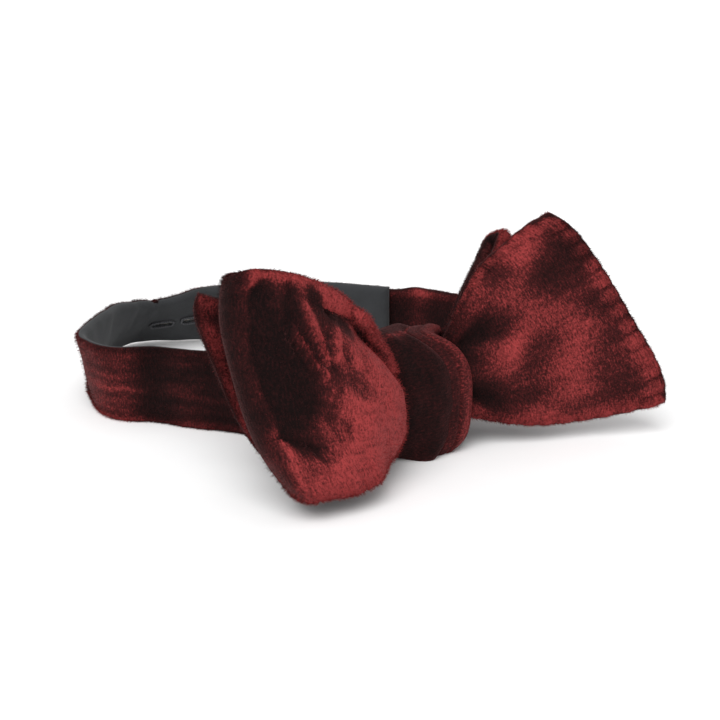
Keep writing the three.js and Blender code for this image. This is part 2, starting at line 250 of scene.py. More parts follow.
def make_velvet(name, dark, middle, bright, sheen=0.13):
    material, start, inputs = new_material(name, {
        "Sheen Weight": sheen, "Sheen Roughness": 0.42,
        "Sheen Tint": (0.95, 0.30, 0.30, 1), "Specular IOR Level": 0.12,
    })
    place = start.node("ShaderNodeTexCoord", output=3)
    cloth = start.node("ShaderNodeUVMap", uv_map="cloth")
    # The value read here is the nap together with painted light and shade.
    nap_and_painted_light = start.node("ShaderNodeAttribute", attribute_name="nap_and_painted_light", output=2)

    patch = place.noise(110, 3, 0.6) - 0.5
    streak = cloth.stretched(11, 55, 1).noise(1, 3, 0.65) - 0.5
    rib = cloth.stretched(210, 60, 1).noise(1, 2, 0.6) - 0.5
    tuft = place.noise(1700, 3, 0.75) - 0.5

    tone = nap_and_painted_light * 0.86 + 0.05 + patch * 0.20 + streak * 0.34 + rib * 0.85 + tuft * 1.05
    colour = tone.clamp().ramp([
        (0.0, dark), (0.34, mixed(dark, middle, 0.3)), (0.58, middle),
        (0.80, mixed(middle, bright, 0.5)), (1.0, bright),
    ])
    plug(start.tree, inputs["Base Color"], colour)
    plug(start.tree, inputs["Roughness"], 0.95 - 0.25 * tone.clamp())
    add_bumps(start, inputs, [
        (patch, 0.35, 1.2), (streak + rib, 0.6, 0.35), (tuft, 0.8, 0.22)])
    return material


velvet = make_velvet("velvet_burgundy",
    (0.0045, 0.0017, 0.0017), (0.052, 0.0066, 0.0070), (0.32, 0.040, 0.040))
# A darker copy of the same velvet for the faces inside the loops and the knot: painted shade where
# they sit in shadow.
velvet_inside_painted_shade = make_velvet("velvet_inside_painted_shade",
    (0.005, 0.002, 0.002), (0.04, 0.007, 0.0072), (0.15, 0.023, 0.024), sheen=0.12)

# %% [markdown]
# The lining is a charcoal twill and the interlining a stiff, pale plain weave. Their yarns
# are under a millimetre apart: crossed sine waves over the cloth map draw them, and the
# same waves drive the bump.

# %% Lining, interlining, thread, ribbon and metal
CLOTH_MAP_SCALE = 0.01  # one unit of the cloth map is 100 mm


def make_weave(name, dark, light, pitch, twill=True):
    """Yarns pitch millimetres apart: a diagonal twill, or a plain over-and-under weave."""
    material, start, inputs = new_material(name, {
        "Sheen Weight": 0.1, "Sheen Roughness": 0.5, "Specular IOR Level": 0.25})
    cloth = start.node("ShaderNodeUVMap", uv_map="cloth")
    along = cloth.node("ShaderNodeSeparateXYZ", {0: cloth}, output=0)
    across = cloth.node("ShaderNodeSeparateXYZ", {0: cloth}, output=1)
    place = start.node("ShaderNodeTexCoord", output=3)
    turn = 2 * math.pi / (pitch * CLOTH_MAP_SCALE)
    wobble = (place.noise(400, 2) - 0.5) * 1.6
    if twill:
        yarn = ((along + across) * turn + wobble).sin() * 0.5 + 0.5
        yarn = yarn * ((along * turn * 2.0).sin() * 0.2 + 0.8)
    else:
        yarn = (along * turn + wobble).sin() * (across * turn + wobble).sin() * 0.5 + 0.5
    slub = place.noise(160, 4, 0.6) - 0.5
    fibre = place.noise(3000, 2, 0.7) - 0.5
    tone = yarn * 0.55 + slub * 0.5 + fibre * 0.3 + 0.22
    plug(start.tree, inputs["Base Color"], tone.clamp().ramp([(0.0, dark), (1.0, light)]))
    plug(start.tree, inputs["Roughness"], (0.85 + slub * 0.2).clamp())
    add_bumps(start, inputs, [(slub, 0.3, 0.6), (yarn, 0.6, 0.06), (fibre, 0.4, 0.05)])
    return material


lining = make_weave("lining_charcoal", (0.010, 0.011, 0.012), (0.058, 0.060, 0.064), 0.55)
canvas = make_weave(
    "interlining_canvas", (0.42, 0.40, 0.35), (0.80, 0.78, 0.72), 0.7, twill=False)


def make_thread(name, dark, light, turns):
    """Close-laid thread or narrow ribbon, seen as fine ridges."""
    material, start, inputs = new_material(name, {
        "Sheen Weight": 0.2, "Sheen Roughness": 0.4, "Specular IOR Level": 0.4})
    place = start.node("ShaderNodeTexCoord", output=3)
    ridge = place.node("ShaderNodeTexWave", {
        "Vector": place, "Scale": turns, "Distortion": 1.4, "Detail": 2.0}, output=1)
    fibre = place.noise(2500, 3, 0.7)
    tone = ridge * 0.6 + fibre * 0.5
    plug(start.tree, inputs["Base Color"], tone.clamp().ramp([(0.1, dark), (0.9, light)]))
    plug(start.tree, inputs["Roughness"], (0.45 + fibre * 0.4).clamp())
    add_bumps(start, inputs, [(ridge, 0.7, 0.12), (fibre, 0.4, 0.05)])
    return material


def make_metal(name):
    """Blackened steel wire and sheet, rubbed brighter in small worn places."""
    material, start, inputs = new_material(name, {"Specular IOR Level": 0.5})
    place = start.node("ShaderNodeTexCoord", output=3)
    wear = place.noise(700, 4, 0.65)
    grain = place.stretched(900, 900, 5200).noise(1, 2)
    plug(start.tree, inputs["Base Color"], wear.ramp([
        (0.0, (0.02, 0.02, 0.022)), (0.62, (0.05, 0.05, 0.053)), (0.8, (0.26, 0.25, 0.24))]))
    plug(start.tree, inputs["Metallic"], 0.75 + wear * 0.25)
    plug(start.tree, inputs["Roughness"], (0.26 + wear * 0.3 + grain * 0.1).clamp())
    add_bumps(start, inputs, [(wear, 0.25, 0.06), (grain, 0.2, 0.02)])
    return material


thread = make_thread("thread_charcoal", (0.012, 0.012, 0.014), (0.07, 0.07, 0.078), 420)
ribbon = make_thread("ribbon_black", (0.008, 0.008, 0.010), (0.045, 0.045, 0.05), 300)
metal = make_metal("metal_blackened")


def make_floor():
    material, start, inputs = new_material("floor_white", {"Specular IOR Level": 0.2})
    place = start.node("ShaderNodeTexCoord", output=3)
    speck = place.noise(35, 3)
    plug(start.tree, inputs["Base Color"], speck.ramp([
        (0.3, (0.955, 0.955, 0.957)), (0.7, (0.975, 0.975, 0.975))]))
    plug(start.tree, inputs["Roughness"], 0.7 + speck * 0.1)
    return material


floor_mesh = bmesh.new()
bmesh.ops.create_grid(floor_mesh, x_segments=4, y_segments=4, size=4)
floor = new_object("floor", floor_mesh, make_floor())
print("materials:", len(bpy.data.materials))

# %% [markdown]
# ## Cloth from a grid
#
# A blade of the tie is two cloths sewn together along their edges and turned, with a
# canvas interlining between. Each cloth starts as a flat grid, is laid on the blade's
# middle surface, and stands off it by half the blade's thickness. Near a seam it rolls in
# to meet its partner, as a turned edge does. Solidify then gives it its real thickness,
# thinned at the seam where the two cloths press together.

# %% Cloth helpers
VELVET, CANVAS, LINING = 1.2, 0.8, 0.6
LAYER_GAP = 0.36
FACE_INNER = CANVAS / 2 + LAYER_GAP
BLADE_HALF = FACE_INNER + VELVET
EDGE_ROLL = 2.3


def smoothstep(value, start, end):
    t = np.clip((value - start) / (end - start), 0, 1)
    return t * t * (3 - 2 * t)


def bell(value, centre, width):
    return np.exp(-(((value - centre) / width) ** 2))


def ripple(points, size, seed, count=24):
    """Smooth noise from about -1 to 1 over points; size is its wavelength."""
    rng = np.random.default_rng(seed)
    ways = rng.normal(size=(count, points.shape[-1]))
    ways /= np.linalg.norm(ways, axis=1, keepdims=True)
    ways *= 2 * math.pi / size * rng.uniform(0.6, 1.7, (count, 1))
    return np.sin(points @ ways.T + rng.uniform(0, 2 * math.pi, count)).sum(-1) / count ** 0.5


def cloth_ripple(x, y, size, seed):
    """The same noise over cloth distances x and y, in millimetres."""
    return ripple(np.stack(np.broadcast_arrays(x, y), -1), size, seed)


def normalised(vectors):
    return vectors / np.maximum(np.linalg.norm(vectors, axis=-1, keepdims=True), 1e-9)


def blurred(points, reach):
    """Each point's average over its neighbours in the grid, reach steps each way."""
    for axis in (0, 1):
        padded = np.concatenate([np.repeat(points.take([0], axis), reach, axis), points,
                                 np.repeat(points.take([-1], axis), reach, axis)], axis)
        total = np.cumsum(padded, axis)
        total = np.concatenate([np.zeros_like(total.take([0], axis)), total], axis)
        size = points.shape[axis]
        near = total.take(range(size), axis)
        far = total.take(range(2 * reach + 1, 2 * reach + 1 + size), axis)
        points = (far - near) / (2 * reach + 1)
    return points


def crease(x, y, start, end, width):
    """A ridge of height 1 along the line from start to end, fading over width."""
    (x0, y0), (x1, y1) = start, end
    run = np.array([x1 - x0, y1 - y0], float)
    t = np.clip(((x - x0) * run[0] + (y - y0) * run[1]) / (run @ run), 0, 1)
    gap = np.hypot(x - x0 - t * run[0], y - y0 - t * run[1])
    return np.exp(-((gap / width) ** 2))


def creases(x, y, rows):
    """The sum of creases, each given as height, start, end and width."""
    return sum(height * crease(x, y, start, end, width) for height, start, end, width in rows)


def surface_normals(surface, a, v, step=1e-3):
    along = surface(a + step, v) - surface(a - step, v)
    across = surface(a, v + step) - surface(a, v - step)
    return normalised(np.cross(along, across))


def surface_grid_normals(points):
    return normalised(np.cross(np.gradient(points, axis=0), np.gradient(points, axis=1)))


def grid_object(name, points, values, material, thickness=0.0, thin=None, closed=False, holes=()):
    """A cloth whose vertices are points[i, j] in millimetres. values are named vertex numbers,
    and thickness goes in from the face. A closed grid joins up with itself both ways, and
    holes are ranges of rows and columns that are cut away."""
    rows, columns = points.shape[:2]
    bm = bmesh.new()
    bmesh.ops.create_grid(bm, x_segments=rows - 1, y_segments=columns - 1, size=0.5)
    uv_layer = bm.loops.layers.uv.new("cloth")
    layers = {key: bm.verts.layers.float.new(key) for key in values}
    spread = {key: np.broadcast_to(array, (rows, columns)) for key, array in values.items()}
    bm.verts.index_update()
    spots = np.array([vertex.co[:2] for vertex in bm.verts])
    i = np.rint((spots[:, 0] + 0.5) * (rows - 1)).astype(int)
    j = np.rint((spots[:, 1] + 0.5) * (columns - 1)).astype(int)

    lengths = np.linalg.norm(np.diff(points, axis=0), axis=-1).mean(axis=1)
    widths = np.linalg.norm(np.diff(points, axis=1), axis=-1).mean(axis=0)
    along = np.concatenate([[0], np.cumsum(lengths)]) * CLOTH_MAP_SCALE
    across = np.concatenate([[0], np.cumsum(widths)]) * CLOTH_MAP_SCALE
    doomed = []
    for face in bm.faces:
        ks = [vertex.index for vertex in face.verts]
        for loop in face.loops:
            k = loop.vert.index
            loop[uv_layer].uv = (along[i[k]], across[j[k]])
        row, column = i[ks].mean(), j[ks].mean()
        if any(i0 < row < i1 and j0 < column < j1 for i0, i1, j0, j1 in holes):
            doomed.append(face)
    for vertex in bm.verts:
        k = vertex.index
        vertex.co = points[i[k], j[k]] * MM
        for key, layer in layers.items():
            vertex[layer] = float(spread[key][i[k], j[k]])
    if doomed:
        bmesh.ops.delete(bm, geom=doomed, context="FACES")
    if closed:
        bmesh.ops.remove_doubles(bm, verts=bm.verts, dist=1e-6)
    obj = new_object(name, bm, material)
    obj["cut"] = (float(widths.sum()) * MM, float(lengths.sum()) * MM,
                  sum(face.area for face in obj.data.polygons))
    if thickness:
        modifier = obj.modifiers.new("cloth", "SOLIDIFY")
        modifier.thickness = thickness * MM
        modifier.offset = -1
        modifier.use_even_offset = False
        if thin is not None and not holes:
            group = obj.vertex_groups.new(name="thin")
            shares = np.broadcast_to(thin, (rows, columns))
            for k in range(len(i)):
                group.add([k], float(shares[i[k], j[k]]), "REPLACE")
            modifier.vertex_group = "thin"
        settle(obj)
    return obj


def declare(piece):
    """Prints the size that a cloth was cut to, its middle width and length laid flat, and clears
    the stored size.
    """
    width, length, area = piece["cut"]
    del piece["cut"]
    min(area, width * length)
    print(f"{piece.name}: cut {width / MM:.0f} x {length / MM:.0f} mm")


def settle(obj):
    """Applies the modifiers, so that what follows works on the final mesh."""
    graph = bpy.context.evaluated_depsgraph_get()
    graph.update()
    mesh = bpy.data.meshes.new_from_object(
        obj.evaluated_get(graph), preserve_all_data_layers=True, depsgraph=graph)
    obj.modifiers.clear()
    obj.data = mesh


# %% [markdown]
# ## The pile at the edges
#
# Against the white table, the edges of velvet aren't crisp: single tufts stand out from
# them. Each tuft is a narrow quad, one cell of a long grid whose cells are split apart
# and set on the cloth, most of them where it turns over at a seam.

# %% Pile and the laying of a cloth
TUFT_HALF_WIDTH, TUFT_LEAN = 0.055, 0.24
piles = {}


def add_pile(cloth, points, outward, tone, weight, count, seed, length=0.95):
    """Single tufts that stand out from the face, most of them where weight is high."""
    rng = np.random.default_rng(seed)
    rows, columns = weight.shape
    chance = weight[:-1, :-1] * np.linalg.norm(np.cross(
        points[1:, :-1] - points[:-1, :-1], points[:-1, 1:] - points[:-1, :-1]), axis=-1)
    picked = rng.choice(chance.size, count, p=chance.ravel() / chance.sum())
    i, j = np.unravel_index(picked, chance.shape)
    fi, fj = rng.random((2, count, 1))

    def between(table):
        return ((table[i, j] * (1 - fi) + table[i + 1, j] * fi) * (1 - fj)
                + (table[i, j + 1] * (1 - fi) + table[i + 1, j + 1] * fi) * fj)

    root, up = between(points), normalised(between(outward))
    shade = between(tone[..., None])[:, 0]
    side = normalised(np.cross(up, rng.normal(size=(count, 3)))) * TUFT_HALF_WIDTH
    lean = rng.normal(size=(count, 3)) * TUFT_LEAN
    tip = root + up * (length * rng.uniform(0.45, 1.0, (count, 1))) + lean
    tip[:, 2] = np.maximum(tip[:, 2], 0.05)
    root = root - up * 0.1
    corners = np.stack([root - side, root + side, tip + side * 0.35, tip - side * 0.35], 1)

    bm = bmesh.new()
    bmesh.ops.create_grid(bm, x_segments=count, y_segments=1, size=0.5)
    bmesh.ops.split_edges(bm, edges=bm.edges)
    nap_and_painted_light_layer = bm.verts.layers.float.new("nap_and_painted_light")
    uv_layer = bm.loops.layers.uv.new("cloth")
    # Each tuft takes the tone of the cloth under it with a random spread, painted a little brighter
    # as a painted sheen, and is painted darker at its root and brighter at its tip, as painted
    # shade and highlight.
    shades = np.clip(shade + rng.normal(size=count) * 0.16 + 0.08, 0, 1)
    for k, face in enumerate(bm.faces):
        for m, loop in enumerate(face.loops):
            loop.vert.co = corners[k, m] * MM
            loop.vert[nap_and_painted_light_layer] = float(shades[k] + (0.12 if m > 1 else -0.08))
            loop[uv_layer].uv = (k * 0.013, m * 0.01)
    pile = new_object(f"{cloth.name}_pile", bm, cloth.data.materials[0])
    piles[cloth.name] = (pile,)


edge_steps = (1 - np.cos(np.linspace(0, math.pi / 2, 6))) * EDGE_ROLL


def edge_clustered(count, width):
    """Positions from 0 to 1 across a cloth, close together where its edges roll."""
    edge = edge_steps / width
    inner = np.linspace(edge[-1], 1 - edge[-1], count)
    return np.concatenate([edge[:-1], inner, 1 - edge[-2::-1]])


def roll_profile(distance):
    """Share of the half thickness that is left at a distance from the seam."""
    inside = 1 - np.clip(distance / EDGE_ROLL, 0, 1)
    return np.sqrt(np.maximum(0, 1 - inside ** 2))


def lay_cloth(name, surface, a, v, side, material, nap_and_painted_light, open_ends=(True, True),
              thickness=VELVET, seam_shift=0.0, holes=(), crest_painted_light_gain=0.55, tufts=0):
    """Lays one cloth of a blade on its middle surface, on the side given by the sign. An
    end that isn't open is rolled in like the long edges, and crests of the cloth are painted
    brighter and its hollows painted darker, as painted light and shade."""
    a, v = np.asarray(a)[:, None], np.asarray(v)[None, :]
    middle = surface(a, v)
    normal = surface_normals(surface, a, v)
    width = np.linalg.norm(surface(a, v * 0 + 1) - surface(a, v * 0), axis=-1)
    distance = np.minimum(v, 1 - v) * width
    length = np.linalg.norm(np.diff(middle, axis=0), axis=-1).sum(axis=0).mean()
    if not open_ends[0]:
        distance = np.minimum(distance, (a - a[0]) / (a[-1] - a[0]) * length)
    if not open_ends[1]:
        distance = np.minimum(distance, (a[-1] - a) / (a[-1] - a[0]) * length)
    profile = roll_profile(distance)
    depth = side * ((FACE_INNER + thickness) * profile) + seam_shift * (1 - profile)
    points = middle + normal * depth[..., None]
    outward = normal * side
    # Crests are painted brighter and hollows darker: painted light and shade added to the tone.
    crest = np.einsum("ijk,ijk->ij", points - blurred(points, 7), outward)
    tone = nap_and_painted_light(a + 0 * v, v + 0 * a, points, outward) + np.clip(crest * crest_painted_light_gain, -0.3, 0.4)
    tone = np.clip(tone, 0, 1)
    thin = np.clip(profile, 0.12, 1)
    # On the negative side, a cloth is laid from its other end, so that its faces point outwards.
    if side < 0:
        last = len(a) - 1
        far_holes = [(last - i1, last - i0, j0, j1) for i0, i1, j0, j1 in holes]
        cloth = grid_object(name, points[::-1], {"nap_and_painted_light": tone[::-1]}, material, thickness,
                            thin[::-1], holes=far_holes)
    else:
        cloth = grid_object(name, points, {"nap_and_painted_light": tone}, material, thickness, thin, holes=holes)
    if tufts:
        weight = 0.12 + np.exp(-(distance / 2.2) ** 2) + 0.25 * np.exp(-(distance / 6) ** 2)
        weight = np.broadcast_to(weight, tone.shape).copy()
        for i0, i1, j0, j1 in holes:
            weight[i0:i1 + 1, j0 - 1:j1 + 1] = 0
        add_pile(cloth, points, outward, tone, weight, tufts, len(name) * 7 + tufts)
    return cloth


def canvas_between(name, surface, a, v, holes=()):
    """The interlining of a blade, on its middle surface."""
    a, v = np.asarray(a)[:, None], np.asarray(v)[None, :]
    points = surface(a, v) + surface_normals(surface, a, v) * CANVAS / 2
    return grid_object(name, points, {}, canvas, CANVAS, holes=holes)


def fit_in(piece, node, hold):
    pile = piles.get(piece.name, ())
    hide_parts(node)
    for each in (piece, *pile):
        hold(each)
    declare(piece)


print("layers, mm:", {"velvet": VELVET, "canvas": CANVAS, "lining": LINING})

# %% [markdown]
# ## The four blades of the bow
#
# Each blade leaves the knot gathered and fans out to its full width, so its low and high
# edges are curves in space with the cloth between them. The left loop and the right loop
# are folded back behind themselves; the left end and the right end are flat and squared
# off. The gathers start at the knot, and die out towards the end: they are added to the
# middle surface, so both cloths and the interlining take them together.

# %% Blade surfaces
LOOP_FOLD_RADIUS, LOOP_ROOT_HALF = 3.6, 2.1
FOLD_SHARE = 0.22
LOOP_LENGTH, LOOP_WIDTH = 62, 50
END_LENGTH, END_WIDTH = 62, 60


def no_folds(u, v, front):
    return np.zeros((*np.broadcast(u, v).shape, 3))


def curve(start, via, end, t):
    t = t[..., None]
    return start * (1 - t) ** 2 + via * 2 * (1 - t) * t + end * t ** 2


class Blade:
    """A blade's edges, from its hinge, in millimetres. bare is the smooth surface, flat a
    single blade and loop one that is folded back behind itself, over a from 0 to 1."""

    def __init__(self, joint, root, low_via, high_via, end_low, end_high, bulge, corner_power,
                 swell_front=0.0, swell_rear=0.0, corner=(0.07, 0.07), folds=no_folds):
        at = hinges[joint]
        self.root_low, self.root_high = (at + np.array(point) for point in root)
        self.low_via, self.high_via = at + np.array(low_via), at + np.array(high_via)
        self.end_low, self.end_high = at + np.array(end_low), at + np.array(end_high)
        self.bulge, self.corner_power, self.corner = bulge, corner_power, corner
        self.swell_front, self.swell_rear = swell_front, swell_rear
        self.folds = folds
        self.length = float(np.linalg.norm(self.end_high - self.root_high))

    def bare(self, share, v):
        rounding = np.where(v < 0.5, self.corner[0], self.corner[1])
        u = share * (1 - rounding * np.abs(2 * v - 1) ** self.corner_power)
        low = curve(self.root_low, self.low_via, self.end_low, u)
        high = curve(self.root_high, self.high_via, self.end_high, u)
        point = low + (high - low) * (v + 0 * u)[..., None]
        wave = np.sin(math.pi * np.clip(v, 0, 1)) * np.sin(math.pi * np.clip(u, 0, 1))
        point[..., 1] -= self.bulge * wave
        return point

    def flat(self, a, v):
        a, v = np.broadcast_arrays(a, v)
        return self.bare(a, v) + self.folds(a, v, np.ones(np.broadcast(a, v).shape))

    def loop(self, a, v):
        a, v = np.broadcast_arrays(a, v)
        run = 1 - 2 * a
        beyond = np.abs(run) - FOLD_SHARE
        u = 1 - beyond / (1 - FOLD_SHARE)
        held = np.clip(u, 0, 1)
        swell = np.sin(math.pi * held) ** 1.2 * (0.55 + 0.45 * np.sin(math.pi * np.clip(v, 0, 1)))
        swell *= 1 - 0.8 * smoothstep(v, 0.82, 1.0)
        half = (LOOP_ROOT_HALF + (LOOP_FOLD_RADIUS - LOOP_ROOT_HALF) * held
                + swell * np.where(run > 0, self.swell_front, self.swell_rear))
        turn = np.clip(run / FOLD_SHARE, -1, 1) * math.pi / 2
        u_fold = 1 + LOOP_FOLD_RADIUS / self.length * np.cos(turn)
        straight = beyond > 0
        u = np.where(straight, u, u_fold)
        lift = np.where(straight, np.sign(run) * half, LOOP_FOLD_RADIUS * np.sin(turn))
        point = self.bare(u, v)
        point[..., 1] -= lift
        front = smoothstep(run, -0.05, FOLD_SHARE)
        point[..., 2] -= 3.0 * (1 - front) * smoothstep(v, 0.6, 1.0) * smoothstep(u, 0.05, 0.35)
        return point + self.folds(u, v + 0 * a, front)


def along_y(amount):
    out = np.zeros((*amount.shape, 3))
    out[..., 1] = -amount
    return out


# %% Folds of each blade
def left_loop_folds(u, v, front):
    """The lower half swells into a lobe with a squared top corner; above it the cloth
    sinks into a pocket, under a twisted rim."""
    settle_in = smoothstep(u, 0.0, 0.06)
    x, y = u * LOOP_LENGTH, v * LOOP_WIDTH
    lobe = 6.5 * bell(u, 0.05, 0.30) * smoothstep(v, 0.80, 0.60) * smoothstep(v, -0.15, 0.2)
    pocket = (-7.0 * bell(u, 0.30, 0.14) * bell(v, 0.81, 0.085)
              - 3.6 * bell(u, 0.60, 0.075) * bell(v, 0.84, 0.06))
    rim = creases(x, y, [(3.6, (3, 46.5), (24, 49), 2.6), (1.8, (24, 48), (47, 46), 2.2),
                         (2.2, (20, 50), (64, 50), 4)])
    ridges = creases(x, y, [(1.5, (48, 43), (43, 33), 1.5), (1.3, (51, 37), (45, 29), 1.3),
                            (1.2, (36, 42), (40, 34), 1.5), (1.0, (56, 44), (57, 22), 3.5),
                            (1.2, (33, 35), (14, 37), 2.6)])
    tuck = creases(x, y, [(-1.6, (66, 13.5), (54, 12), 2.2), (2.4, (66, 5), (36, 1), 6)])
    soft = 0.40 * cloth_ripple(x, y, 21, 3) + 0.13 * cloth_ripple(x, y, 8, 4)
    out = along_y(((lobe + pocket + rim + ridges) * settle_in + tuck + soft) * front)
    out[..., 0] += -2.4 * front * bell(v, 0.08, 0.12) * smoothstep(u, 0.7, 1.0)
    hang = front * bell(v, 0.0, 0.32) * smoothstep(u, 0.25, 0.6)
    out[..., 1] -= 3.0 * hang
    out[..., 2] += 2.0 * hang
    return out


def left_end_folds(u, v, front):
    face = np.stack([u * 62, v * 48], -1)
    return along_y(0.6 * ripple(face, 24, 5) * smoothstep(u, 0, 0.3))


def right_end_folds(u, v, front):
    settle_in = smoothstep(u, 0.0, 0.10)
    fan = 1.6 * np.cos((v - 0.5) * 2 * math.pi * 2.2) * bell(u, 0.10, 0.26)
    pleat = 1.3 * bell(v, 0.70 - 0.35 * u, 0.05) * bell(u, 0.26, 0.15)
    face = np.stack([u * END_LENGTH, v * END_WIDTH], -1)
    pucker = 0.35 * np.sin(v * 2 * math.pi * 13) * bell(u, 0.95, 0.05)
    hem = 0.25 * np.sin(u * 2 * math.pi * 11) * (bell(v, 0.02, 0.04) + bell(v, 0.98, 0.04))
    return along_y((fan + pleat) * settle_in + 0.55 * ripple(face, 26, 8) * smoothstep(u, 0, 0.2)
                   + pucker + hem)


def right_loop_folds(u, v, front):
    face = np.stack([u * 50, v * 48], -1)
    return along_y(0.7 * ripple(face, 22, 12) * smoothstep(u, 0, 0.3) * (0.4 + 0.6 * front))


left_loop = Blade("left_loop_flex", [(0, -0.3, -8), (0, 0.4, 8)], (-16.6, -17, -20.6),
    (-18.6, -3, 47), (-43.6, -20, -15), (-51.6, -3, 46.5), 3, 3, 7, 1.2,
    corner=(0.17, 0.09), folds=left_loop_folds)
left_end = Blade("left_end_flex", [(0, -0.1, -8), (0, 0.1, 8)], (-15.6, 1.3, -16),
    (-21.6, 3.3, 24), (-40.6, 0.3, -12.5), (-56.1, 9.3, 37), -1.5, 4, folds=left_end_folds)
right_end = Blade("right_end_flex", [(0, -0.1, -8), (0, 4.5, 13)], (28.5, -7, -21.5),
    (5.5, 5.3, 38), (67.5, -25.5, -8.5), (39, -0.5, 51), 5, 5, corner=(0.05, 0.085),
    folds=right_end_folds)
right_loop = Blade("right_loop_flex", [(0, -0.1, -8), (0, 0, 8)], (19.5, -1.6, -14),
    (9.5, 1.4, 28), (35.5, -5.6, -4), (21.5, 4.4, 44), 1, 4, 0.4, 3,
    folds=right_loop_folds)

# %% [markdown]
# The nap is brushed by every hand that ties the bow, so light and dark don't simply follow
# the folds. Each blade has a tone of its own that holds its nap and painted light together: a
# base painted brighter or darker by which way the cloth faces, and strokes laid over it,
# painted shade in the hollows and painted highlights on the lobe and the rims.

# %% Nap of each blade


def painted_light_from(outward, way, base, gain):
    """Painted light and shade: a tone brighter where the cloth faces one way, darker where it faces
    away.
    """
    way = np.array(way, float)
    return base + gain * (outward @ (way / np.linalg.norm(way)))


def left_loop_nap_and_painted_light(a, v, points, outward):
    run = 1 - 2 * a
    u = 1 - (np.abs(run) - FOLD_SHARE) / (1 - FOLD_SHARE)
    front = (run > 0) * 1.0
    x, y = u * LOOP_LENGTH, v * LOOP_WIDTH
    # Painted shade in the pockets, in the dark stretch near the fold and along the bottom edge;
    # painted highlights on the ridges, the top rim, the fold edge and the lower lobe; over a base
    # painted by which way the cloth faces.
    lobe_top = 0.74 - 0.40 * u
    painted_pocket_shade = (creases(x, y, [(0.85, (22, 45.5), (5, 42), 3.0), (0.7, (44, 46), (32, 39.5), 2.3),
                              (0.30, (58, 42), (60, 20), 7)])
               + 0.5 * bell(u, 0.9, 0.13) * bell(v, 0.5, 0.38) + 0.16 * bell(v, 0.10, 0.12))
    painted_highlights = (creases(x, y, [(0.45, (39, 46), (26, 40), 1.5), (0.4, (60, 48.5), (8, 48.5), 1.6),
                            (0.5, (8, 36), (1, 35), 1.8), (0.25, (0, 46), (24, 48.5), 2.5)])
             + 0.35 * bell(u, 0.45, 0.35) * bell(v, 0.18, 0.2) + 0.16 * bell(u, 1.0, 0.03)
             + 0.42 * smoothstep(v, lobe_top + 0.06, lobe_top - 0.10))
    tone = painted_light_from(outward, (0.85, -0.15, -0.35), 0.30, 0.75)
    return tone + 0.26 * smoothstep(v, 0.93, 1.0) + (painted_highlights - painted_pocket_shade) * front


# A plain nap level, painted brighter where the cloth faces the given way and darker where it faces
# away: painted light and shade.
def plain_nap_and_painted_light(base, way=(0, -0.3, 1), gain=0.25):
    return lambda a, v, points, outward: painted_light_from(outward, way, base, gain)


def right_end_nap_and_painted_light(a, v, points, outward):
    # A base painted by which way the cloth faces, a brighter middle, painted shade next to the
    # knot, a darker strip at the upper part of the far end, and painted highlights on the rolled
    # long edges.
    tone = painted_light_from(outward, (0.5, -0.5, 0.2), 0.27, 0.30)
    tone += 0.30 * bell(a, 0.60, 0.28) * bell(v, 0.38, 0.36)
    x, y = a * END_LENGTH, v * END_WIDTH
    tone += 0.07 * cloth_ripple(x * 0.5, y, 13, 61) * smoothstep(a, 0.1, 0.5)
    tone -= 0.42 * bell(a, 0.02, 0.27) * (1 - 0.6 * bell(v, 0.0, 0.12))
    tone -= 0.12 * crease(x, y, (62, 30), (62, 60), 8)
    tone += 0.22 * (bell(v, 0.0, 0.03) + bell(v, 1.0, 0.03))
    return tone


# %% Make the blades
ROOT_INSIDE = 0.09
BLADE_WIDTH, CANVAS_INSET = 45, 2.4
LOOP_TUFTS, END_TUFTS, BACK_TUFTS = 26000, 15000, 9000


def blade_values(blade, folded):
    if folded:
        front = np.linspace(-ROOT_INSIDE * 0.4, 0.39, 84)
        fold = np.linspace(0.39, 0.61, 18)[1:-1]
        rear = np.linspace(0.61, 1 + ROOT_INSIDE * 0.4, 40)
        return np.concatenate([front, fold, rear])
    end = 1 - edge_steps[::-1] / blade.length
    return np.concatenate([np.linspace(-ROOT_INSIDE, end[0], 76)[:-1], end])


def make_blade(name, blade, folded, side, names, naps_and_painted_light):
    surface = blade.loop if folded else blade.flat
    a = blade_values(blade, folded)
    v = edge_clustered(44, BLADE_WIDTH)
    ends = (True, folded)
    # Each blade's two tone functions give its nap with painted light and shade laid over it.
    outer = lay_cloth(f"{name}_{names[0]}_cloth", surface, a, v, side, velvet, naps_and_painted_light[0], ends,
                      tufts=LOOP_TUFTS if folded else END_TUFTS)
    inner = lay_cloth(f"{name}_{names[1]}_cloth", surface, a, v, -side,
                      velvet_inside_painted_shade if folded else velvet, naps_and_painted_light[1], ends, tufts=BACK_TUFTS)
    inset = CANVAS_INSET / BLADE_WIDTH
    core_v = np.linspace(inset, 1 - inset, 24)
    core_a = a if folded else np.linspace(a[0], 1 - CANVAS_INSET / blade.length, 48)
    core = canvas_between(f"{name}_canvas", surface, core_a, core_v)
    for piece, node in [(outer, names[0]), (inner, names[1]), (core, "interlining")]:
        fit_in(piece, f"{name}_{node}",
               lambda each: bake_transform(each))


loop_names, end_names = ("outer_velvet", "inner_velvet"), ("front_velvet", "back_velvet")
make_blade("left_loop", left_loop, True, -1, loop_names, (left_loop_nap_and_painted_light, plain_nap_and_painted_light(0.15)))
make_blade("left_end", left_end, False, -1, end_names, (plain_nap_and_painted_light(0.3), plain_nap_and_painted_light(0.45)))
make_blade("right_end", right_end, False, 1, end_names, (right_end_nap_and_painted_light, plain_nap_and_painted_light(0.4)))
make_blade("right_loop", right_loop, True, 1, loop_names, (plain_nap_and_painted_light(0.35), plain_nap_and_painted_light(0.15)))

